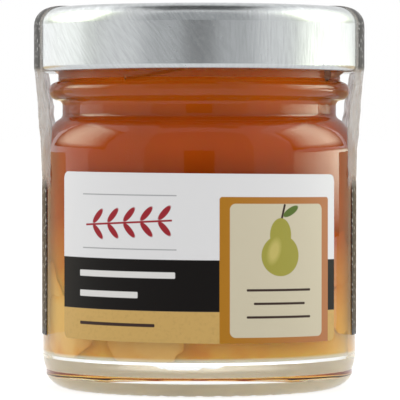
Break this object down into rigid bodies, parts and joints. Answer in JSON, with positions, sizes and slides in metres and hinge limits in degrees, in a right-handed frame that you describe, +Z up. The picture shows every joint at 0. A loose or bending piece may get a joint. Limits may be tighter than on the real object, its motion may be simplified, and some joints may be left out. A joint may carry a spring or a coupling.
{
  "type": "fruit mustard jar",
  "caption": "Small round glass jar of fruit mustard with a twist-off metal lid, a wrap-round front label and a film seal strip over the lid.",
  "frame": {"origin": "middle of the base, on the surface the jar stands on", "axes": "+Z up along the jar's axis; the label faces -Y; the seal strip's two legs lie at +X and -X"},
  "size_m": [0.046, 0.0456, 0.0527],
  "materials": {
    "glass": "clear, polished",
    "tinplate": "satin tinplate with fine scratches",
    "fruit_mustard": "clear amber syrup with fruit",
    "label_paper": "coated paper, printed",
    "seal_film": "shiny printed film"
  },
  "bodies": {
    "root": {"glass_jar": "glass", "lid": "tinplate", "fruit_mustard": "fruit_mustard", "front_label": "label_paper", "seal_strip": "seal_film"}
  },
  "joints": []
}
